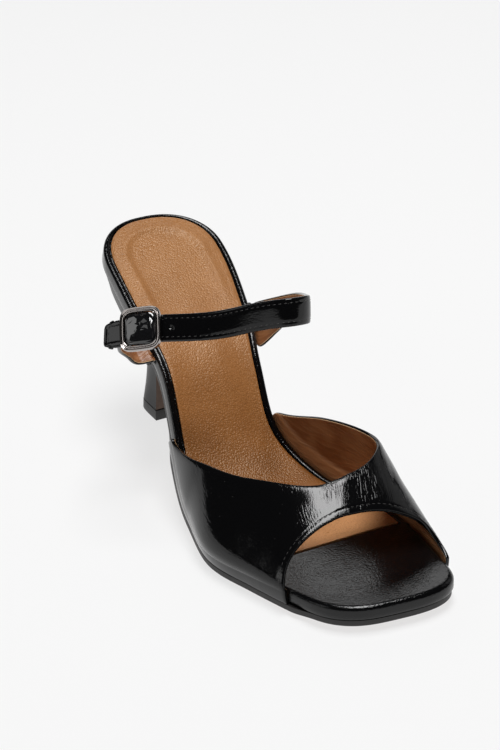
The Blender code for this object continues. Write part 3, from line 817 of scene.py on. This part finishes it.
def leather_piece(name, columns, rows, face_at, wall, nose, finishes, spread, outward=1):
    """A leather sheet with its real wall. face_at gives its outer face for columns and for v, from one cut
    edge to the other. The section goes over the face, round the far edge, back inside and round the near
    edge, and the ends close the same way. nose is how far the rounded edges reach."""
    turn = np.linspace(0.0, math.pi, EDGE_STEPS + 1)[1:-1]
    out, back = np.linspace(0.0, 1.0, rows + 1), np.linspace(1.0, 0.0, rows + 1)
    flat, edge = np.zeros(rows + 1), np.ones(len(turn))
    v_at = np.concatenate([out, edge, back, 0 * edge, [0.0]])
    depth_at = np.concatenate([flat, (1 - np.cos(turn)) / 2, flat + 1, (1 + np.cos(turn)) / 2, [0.0]])
    reach_at = np.concatenate([flat, np.sin(turn), flat, -np.sin(turn), [0.0]])
    paint = np.where(depth_at < CUT_EDGE[0], 0, np.where(depth_at < CUT_EDGE[1], 2, 1))

    def place(column, row):
        inner = np.clip(column - END_STEPS, 0, columns)
        end = np.maximum(END_STEPS - column, column - END_STEPS - columns).clip(0) / END_STEPS * math.pi / 2
        v = v_at[row]
        step = 0.25 / rows
        points = face_at(inner, v)
        across = face_at(inner, v + step) - face_at(inner, v - step)
        ahead = unit(face_at(inner + 0.5, v) - face_at(inner - 0.5, v))
        square = unit(np.cross(ahead, across) * outward)
        aside = np.cross(square, ahead) * outward
        thin = np.cos(end)
        sink = wall * (0.5 + (depth_at[row] - 0.5) * thin)
        beyond = np.sign(column - END_STEPS - columns / 2) * np.sin(end) * nose
        points = points - square * sink[:, None] + aside * (reach_at[row] * nose * thin)[:, None]
        return points + ahead * beyond[:, None], spread(inner, v)

    rings = len(v_at) - 1
    return grid_piece(name, columns + 2 * END_STEPS, rings, place, finishes, sharp=60.0, paint=paint)


def vamp_spread(column, v):
    around, share, low = vamp_spot(column, v)
    return np.stack([share * FOOT_LENGTH, around * GIRTH], axis=-1)


# Tan lining leather with grain and folds. Its colour carries painted light and shade: it is lighter on the
# fold crests and darker in the creases. A painted highlight runs along the soft roll at its base on the
# big-toe side, where the roll's bump is real.
def tan_lining(where):
    spread = where.node("ShaderNodeUVMap", {"uv_map": "leather"})
    around = where.node("ShaderNodeSeparateXYZ", {}, {"Vector": spread}, output="Y")
    roll_and_painted_highlight = around.smooth(*LINING_ROLL[:2]) * around.smooth(*LINING_ROLL[2:])
    fold_and_painted_light = spread.noise(6.0 / MM, stretch=(2.0, 1.0, 1.0), detail=1.0, distortion=0.3, turn=-12.0)
    crease_and_painted_shade = spread.noise(1.0 / MM, stretch=(9.0, 1.0, 1.0), detail=1.0, distortion=0.4, turn=-12.0)
    grain = where.noise(0.5, detail=1.0)
    hide = (fold_and_painted_light.smooth(0.3, 0.7) * 0.4 + roll_and_painted_highlight).mix(colour(134, 84, 49), colour(186, 134, 92))
    return {
        "Base_Color": (crease_and_painted_shade.smooth(0.55, 0.72) * 0.35).mix(hide, colour(104, 62, 34)),
        "Roughness": 0.46 - crease_and_painted_shade * 0.15,
        "Normal": bump(fold_and_painted_light * 1.0 + crease_and_painted_shade * 1.3 + roll_and_painted_highlight * 3.0 + grain * 0.12, 0.30),
    }


# Where round the vamp the lining's soft roll lies, with its real bump and its painted highlight.
LINING_ROLL = (144.5, 147.0, 151.0, 149.6)
GATHERS = ((204.0, 84.0, 13.0), (202.0, 64.0, 7.0))
lining = finish("tan_lining", tan_lining, Specular_IOR_Level=0.4)
raw_edge = finish("raw_edge", Base_Color=colour(205, 168, 128), Roughness=0.6)
vamp = leather_piece(
    "vamp_finish", 2 * VAMP_SIDE + VAMP_OVER, VAMP_ALONG, vamp_face, VAMP_WALL, VAMP_NOSE,
    [patent("patent_vamp", leather=True, gathers=GATHERS), lining, raw_edge], vamp_spread, outward=-1,
)
stands_for(vamp, "vamp")

STITCH = {"pitch": 2.4, "long": 1.7, "wide": 0.42, "high": 0.30}


def lengths_along(line):
    return np.concatenate([[0.0], np.cumsum(np.linalg.norm(np.diff(line, axis=0), axis=1))])


def sew(name, slot, columns, across, face_at, outward):
    """A row of stitches on a leather's face, along the line through columns and shares across."""
    shape = bmesh.new()
    lengths = lengths_along(face_at(columns, across))
    for at in np.arange(STITCH["pitch"] / 2, lengths[-1], STITCH["pitch"]):
        spots = at + np.array([-0.4, 0.0, 0.4])
        column, v = np.interp(spots, lengths, columns), np.interp(spots, lengths, across)
        behind, middle, before = face_at(column, v)
        over = (face_at(column, v + 0.004) - face_at(column, v - 0.004))[1]
        along = (face_at(column + 0.3, v) - face_at(column - 0.3, v))[1]
        ahead = Vector(before - behind).normalized()
        square = (Vector(along).cross(Vector(over)) * outward).normalized()
        aside = square.cross(ahead)
        turn = Matrix([ahead * STITCH["long"] / 2, aside * STITCH["wide"] / 2, square * STITCH["high"] / 2])
        place = Matrix.Translation(Vector(middle + PLACE) * MM) @ (turn.transposed() * MM).to_4x4()
        bmesh.ops.create_icosphere(shape, subdivisions=1, radius=1.0, matrix=place)
    for patch in shape.faces:
        patch.smooth = True
    made = piece_from(name, shape, [thread], sharp=180.0)
    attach(made, "root")


def waxed_thread(where):
    twist = where.noise(0.3, detail=1.0)
    return {"Base_Color": twist.mix(colour(18, 17, 17), colour(48, 46, 44)), "Roughness": 0.35 + twist * 0.2}


thread = finish("waxed_thread", waxed_thread)
peep_columns = np.arange(VAMP_SIDE + PEEP_ROW["ends"], VAMP_SIDE + VAMP_OVER - PEEP_ROW["ends"])
peep_around, _, _ = vamp_spot(peep_columns, 0.0)
vamp_length = (edge_share(PEEP, peep_around) - edge_share(THROAT, peep_around)) * FOOT_LENGTH
sew("peep_stitches", "vamp", peep_columns, 1 - PEEP_ROW["in"] / vamp_length, vamp_face, -1)

# Instep strap: black patent folded over a tan lining and stitched along both edges. It comes up from the
# footbed's big-toe side, crosses the instep and ends in a squared tip past the buckle.
STRAP_WIDTH = 11.0
STRAP_WALL = 1.8
STRAP_GAP = 0.5
STRAP_HEM = 0.4
RIM_DROP = 0.5
STRAP = {
    "across": (0.319, 0.334, 0.319, 0.188, 0.138, 0.031, -0.063, -0.256, -0.565, -0.706),
    "along": (0.294, 0.335, 0.417, 0.514, 0.545, 0.554, 0.528, 0.472, 0.383, 0.339),
    "up": (0.713, 0.794, 0.916, 1.038, 1.078, 1.098, 1.075, 1.003, 0.941, 0.889),
    "lean_across": (-0.11, -0.11, -0.16, 0.17, 0.18, 0.12, 0.03, 0.12, 0.35, 0.30),
    "lean_back": (0.88, 0.78, 0.55, 0.33, 0.34, 0.37, 0.40, 0.46, 0.50, 0.45),
    "lean_up": (0.46, 0.61, 0.82, 0.93, 0.92, 0.92, 0.92, 0.88, 0.79, 0.84),
    "broad": (1.65, 1.16, 1.0, 1.0, 1.0, 1.0, 1.0, 1.0, 1.0, 1.0),
}
STRAP_FOOT = {"low": (0.333, 0.243), "rim": (0.345, 0.258)}
STRAP_CROWN = 0.25
BORDER = {"in": 1.35, "groove": 0.45}
STRAP_SEWN = (0.11, 1.0)
TIP = {"round": 2.2, "shaped": 12.0}
STRAP_NOSE = 0.75
HOLE = {"from_tip": 30.0, "radius": 0.95, "deep": 0.8}
STRAP_ROWS = 20
STRAP_COLUMNS = 300
STRAP_FINE = 0.5
SOFTENED = {"starts": 14.0, "short_of_end": 24.0, "reach": 14, "fades": 10.0}


def by_axis(change, line):
    """A line of points with one change made to each of its three coordinates."""
    return np.stack([change(line[:, axis]) for axis in range(3)], axis=-1)


def strap_edges(table, foot, side, tuck=()):
    """A strap's two edges, from the footbed's side to its end, as fine lines, and the length at each."""
    rungs = []
    for place, above in (("low", STRAP_HEM - SEAT_BOARD), ("low", -SEAT_BOARD / 2), ("rim", -RIM_DROP)):
        shares = np.array(foot[place])
        rungs.append(on_footbed(shares, side * outside(side, shares, STRAP_GAP + STRAP_WALL / 2), above))
    for across, forward, up, *lean, broad in zip(*table.values()):
        centre = np.array([across * BALL_WIDTH, -forward * FOOT_LENGTH, up * SEAT_HEIGHT])
        half = unit(np.array(lean)) * broad * STRAP_WIDTH / 2
        rungs.append([centre - half, centre + half])
    edges = np.array([*rungs, *tuck]).swapaxes(0, 1)
    lengths = lengths_along(edges.sum(axis=0) / 2)
    fine = np.arange(0.0, lengths[-1] + STRAP_FINE / 2, STRAP_FINE)
    return [by_axis(lambda places: through(lengths, places, fine), edge) for edge in edges] + [fine]


def eased(edges, starts, short_of_end, reach, fades):
    """The edges with their bends softened between two lengths, by a moving mean that fades in and out."""
    spread = np.hanning(2 * reach + 3)[1:-1]
    fine = edges[2]
    end = fine[-1] - short_of_end
    keep = ease(fine, starts, starts + fades) * (1 - ease(fine, end - fades, end))
    soft = []
    for edge in edges[:2]:
        padded = np.pad(edge, ((reach, reach), (0, 0)), mode="edge")
        mean = by_axis(lambda places: np.convolve(places, spread / spread.sum(), "valid"), padded)
        soft.append(edge + (mean - edge) * keep[:, None])
    return [*soft, fine]


def strap_point(edges, length, across):
    """Points at a length along the strap and a share across it, from its lower to its upper edge."""
    low, high = [by_axis(lambda places: np.interp(length, edges[2], places), edge) for edge in edges[:2]]
    return low + (high - low) * np.asarray(across)[..., None]


def strap_normal(edges, length, across, outward):
    """The direction that the strap's outer face looks in."""
    ahead = strap_point(edges, length + 1.0, across) - strap_point(edges, length - 1.0, across)
    over = strap_point(edges, length, across + 0.01) - strap_point(edges, length, across - 0.01)
    return unit(np.cross(ahead, over) * outward)


def strap_face(edges, outward, columns, tip=1.0):
    """A strap's outer face as a function of columns and share across. With a tip it is rounded, stitched and
    punched at its end."""
    total = edges[2][-1]

    def face_at(column, across):
        from_side = np.minimum(across, 1 - across) * STRAP_WIDTH
        from_tip = (1 - column / columns) * total
        corner = np.clip(TIP["round"] - from_side, 0, TIP["round"])
        short = (TIP["round"] - np.sqrt(TIP["round"] ** 2 - corner**2)) * tip
        length = column / columns * total
        length = length - short * ease(length, total - TIP["shaped"], total)
        crown = STRAP_CROWN * (1 - np.clip(2 * across - 1, -1, 1) ** 4)
        beside, before_tip = [hump(reach, BORDER["in"], BORDER["groove"]) for reach in (from_side, from_tip)]
        sewn = STITCH_SINK * np.maximum(beside, before_tip * tip)
        from_hole = np.hypot(from_tip - HOLE["from_tip"], (across - 0.5) * STRAP_WIDTH)
        punched = HOLE["deep"] * tip * (1 - ease(from_hole, HOLE["radius"] / 2, HOLE["radius"]))
        square = strap_normal(edges, np.clip(length, 1.0, total - 1.0), across, outward)
        narrow = 0.5 + (across - 0.5) * (1 - 2 * (STRAP_NOSE - 0.4) / STRAP_WIDTH)
        above = crown - sewn - punched + STRAP_WALL / 2
        return strap_point(edges, length, narrow) + square * above[:, None]

    return face_at


def border_line(edges, columns, start, end, tip=1.0):
    """Columns and shares across of a strap's stitches: along one edge, across its end, and back."""
    inset = BORDER["in"] / STRAP_WIDTH
    side = np.arange(start * columns, end * columns - tip * BORDER["in"] / edges[2][-1] * columns)
    over = np.linspace(inset, 1 - inset, 9)
    there = np.concatenate([side, 0 * over + side[-1], side[::-1]])
    return there, np.concatenate([0 * side + inset, over, 0 * side + 1 - inset])


def lay_strap(name, node, stitches, edges, outward, columns, sewn, tip=1.0):
    """A strap and its stitches, sewn between two shares of its length."""
    face_at = strap_face(edges, outward, columns, tip)

    def spread(column, across):
        return np.stack([column / columns * edges[2][-1], across * STRAP_WIDTH], axis=-1)

    strap = leather_piece(
        name, columns, STRAP_ROWS, face_at, STRAP_WALL, STRAP_NOSE, strap_finish, spread, outward
    )
    sew(stitches, node, *border_line(edges, columns, *sewn, tip), face_at, outward)
    stands_for(strap, node)


strap_line = strap_edges(STRAP, STRAP_FOOT, 1)
strap_finish = [patent("patent_strap", crinkle=0.6, leather=True), lining, raw_edge]
lay_strap(
    "instep_strap_finish", "instep_strap", "strap_stitches",
    eased(strap_line, **SOFTENED), -1, STRAP_COLUMNS, STRAP_SEWN,
)

# Buckle strap: the short strap, made like the long one, that leaves the footbed's little-toe side, swells
# outward and turns in flat under the buckle.
TIP_LENGTH = 17.1
TUCK_GAP = 0.6
TUCK = (1.0, -7.0)
BUCKLE_STRAP = {
    "across": (-0.437, -0.531, -0.606, -0.621),
    "along": (0.262, 0.286, 0.319, 0.345),
    "up": (0.661, 0.743, 0.834, 0.892),
    "lean_across": (0.05, 0.10, 0.25, 0.33),
    "lean_back": (0.86, 0.76, 0.62, 0.53),
    "lean_up": (0.50, 0.64, 0.74, 0.78),
    "broad": (1.25, 1.05, 1.0, 1.0),
}
BUCKLE_STRAP_FOOT = {"low": (0.315, 0.24), "rim": (0.322, 0.245)}
BUCKLE_COLUMNS = 120
BUCKLE_SOFTENED = {"starts": 10.0, "short_of_end": 4.0, "reach": 8, "fades": 10.0}
BUCKLE_SEWN = (0.16, 0.86)
STRAP_STEPS = 64

strap_step = strap_line[2][-1] / STRAP_STEPS
held_row = STRAP_STEPS - round(TIP_LENGTH / strap_step)
held_at = np.array([held_row - 1, held_row, held_row + 1]) * strap_step
before, held, after = strap_point(strap_line, held_at, 0.5)
held_low, held_high = strap_point(strap_line, held_at[1], 0.0), strap_point(strap_line, held_at[1], 1.0)
run = unit(after - before)
face = unit(np.cross(held_high - held_low, run))
rise = np.cross(run, face)

under = face * -(STRAP_WALL + TUCK_GAP)
tuck = [(held_low + under + run * step, held_high + under + run * step) for step in TUCK]
buckle_line = strap_edges(BUCKLE_STRAP, BUCKLE_STRAP_FOOT, -1, tuck)
lay_strap(
    "buckle_strap_finish", "buckle_strap", "buckle_strap_stitches",
    eased(buckle_line, **BUCKLE_SOFTENED), 1, BUCKLE_COLUMNS, BUCKLE_SEWN, tip=0.0,
)

# Buckle: a rounded-square polished metal frame with a thin raised lip inside and out, and a cushion-cut black
# stone set in it.
BUCKLE_SIZE = 18.5
BUCKLE_DEPTH = 2.9
FRAME_SQUARENESS = 4.5
FRAME_SIDES = 160
FRAME_SECTION = {
    "size": (0.93, 0.99, 1.0, 1.0, 0.985, 0.96, 0.935, 0.915,
             0.885, 0.85, 0.825, 0.8, 0.78, 0.765, 0.76, 0.76),
    "above": (0.03, 0.04, 0.12, 0.5, 0.64, 0.74, 0.7, 0.55,
              0.5, 0.52, 0.7, 0.78, 0.74, 0.62, 0.41, 0.1),
}
STONE = {
    "size": (0.68, 0.74, 0.74, 0.68, 0.65, 0.59, 0.55, 0.42, 0.26, 0.12),
    "above": (0.07, 0.34, 0.44, 0.66, 0.70, 0.84, 0.86, 0.92, 0.95, 0.96),
    "squareness": (6.0, 6.0, 6.0, 7.0, 7.0, 7.0, 7.0, 4.0, 3.0, 2.4),
}
STONE_SIDES = 16
STONE_CHIPS = {"rings": (5, 8), "sides": (3, 10), "depth": (0.03, -0.07, 0.10, -0.12, 0.09, -0.07, 0.04)}
STONE_TILT = {"along": 0.02, "up": 0.04, "above": 0.6}


def square_ring(size, above, squareness, turn):
    """Points round the buckle's middle on a rounded square."""
    c, s = np.cos(turn), np.sin(turn)
    reach = size * BUCKLE_SIZE / 2 / (np.abs(c) ** squareness + np.abs(s) ** squareness) ** (1 / squareness)
    lift = STRAP_WALL / 2 + GAP + above * BUCKLE_DEPTH
    return held + run * (c * reach)[:, None] + rise * (s * reach)[:, None] + face * lift[:, None]


def frame_place(column, row):
    size, above = at_row(FRAME_SECTION, row % len(FRAME_SECTION["size"]))
    points = square_ring(size, above, FRAME_SQUARENESS, column / FRAME_SIDES * 2 * math.pi)
    return points, np.stack([column, row], axis=-1).astype(float)


def polished(where):
    haze = where.noise(1.5, detail=3.0)
    return {"Roughness": haze * 0.10 + 0.08, "Normal": bump(haze, 0.01)}


frame_metal = finish("buckle_metal", polished, Base_Color=colour(172, 166, 163), Metallic=1.0)
buckle_frame = grid_piece(
    "buckle_frame_finish", FRAME_SIDES, len(FRAME_SECTION["size"]), frame_place, [frame_metal], sharp=50.0
)
stands_for(buckle_frame, "buckle_frame")


def stone_place(column, row):
    size, above, squareness = at_row(STONE, row)
    turn = (column + 0.5 * (row % 2)) / STONE_SIDES * 2 * math.pi
    points = square_ring(size, above, squareness, turn)
    along, up = (points - held) @ run, (points - held) @ rise
    first, last = STONE_CHIPS["rings"]
    depths = np.zeros(STONE_SIDES)
    depths[slice(*STONE_CHIPS["sides"])] = STONE_CHIPS["depth"]
    chip = depths[column % STONE_SIDES] * ((row >= first) & (row <= last)) * BUCKLE_DEPTH
    tilt = (along * STONE_TILT["along"] + up * STONE_TILT["up"]) * (above > STONE_TILT["above"])
    points = points + face * (tilt + chip)[:, None]
    return points, np.stack([column, row], axis=-1).astype(float)


stone_look = finish(
    "black_stone", Base_Color=colour(14, 14, 16), Roughness=0.04, Specular_IOR_Level=0.7, Coat_Weight=0.5
)
buckle_stone = grid_piece(
    "buckle_stone_finish", STONE_SIDES, len(STONE["size"]) - 1, stone_place, [stone_look],
    sharp=1.0, ends=True,
)
for patch in buckle_stone.data.polygons:
    patch.use_smooth = False
stands_for(buckle_stone, "buckle_stone")

# Studio: a seamless pale paper floor that glows a little, a large soft light overhead, and softer ones at the
# left, the right and behind, whose reflections draw the patent's highlights. Its sizes are in metres.
FLOOR = {"radius": 8.0, "wall": 1.3, "sides": 64}
PAPER = {
    "Base_Color": (0.21, 0.21, 0.21, 1.0), "Roughness": 0.9, "Specular_IOR_Level": 0.1,
    "Emission_Color": (1.0, 1.0, 1.0, 1.0), "Emission_Strength": 0.72,
}
shape = bmesh.new()
bmesh.ops.create_circle(shape, cap_ends=True, segments=FLOOR["sides"], radius=FLOOR["radius"])
wall = bmesh.ops.extrude_edge_only(shape, edges=shape.edges[:])["geom"]
wall_top = [part for part in wall if isinstance(part, bmesh.types.BMVert)]
bmesh.ops.translate(shape, verts=wall_top, vec=(0.0, 0.0, FLOOR["wall"]))
floor = piece_from("floor", shape, [finish("paper", **PAPER)])

AIM = Vector((0.0, 0.0, 0.05))
ROOM = (0.03, 0.03, 0.03, 1.0)
LIGHTS = {
    "overhead": {"at": (0.11, -0.06, 1.60), "size": (0.94, 0.62), "power": 24.5},
    "left": {"at": (-1.5, 0.10, 0.90), "size": (0.45, 0.7), "power": 1.7},
    "right": {"at": (1.7, 0.35, 1.0), "size": (0.8, 0.9), "power": 0.8},
    "behind": {"at": (0.55, 2.0, 1.05), "size": (2.2, 0.9), "power": 8.0},
}
for name, light in LIGHTS.items():
    lamp = bpy.data.lights.new(name, "AREA")
    lamp.shape = "RECTANGLE"
    lamp.size, lamp.size_y = light["size"]
    lamp.energy = light["power"]
    stand = bpy.data.objects.new(name, lamp)
    stand.location = light["at"]
    stand.rotation_euler = (AIM - stand.location).to_track_quat("-Z", "Y").to_euler()
    bpy.context.scene.collection.objects.link(stand)

world = bpy.data.worlds.new("studio")
world.use_nodes = True
world.node_tree.nodes["Background"].inputs["Color"].default_value = ROOM
bpy.context.scene.world = world
bpy.context.scene.view_settings.view_transform = "Standard"
bpy.context.scene.view_settings.look = "None"

bpy.context.view_layer.update()
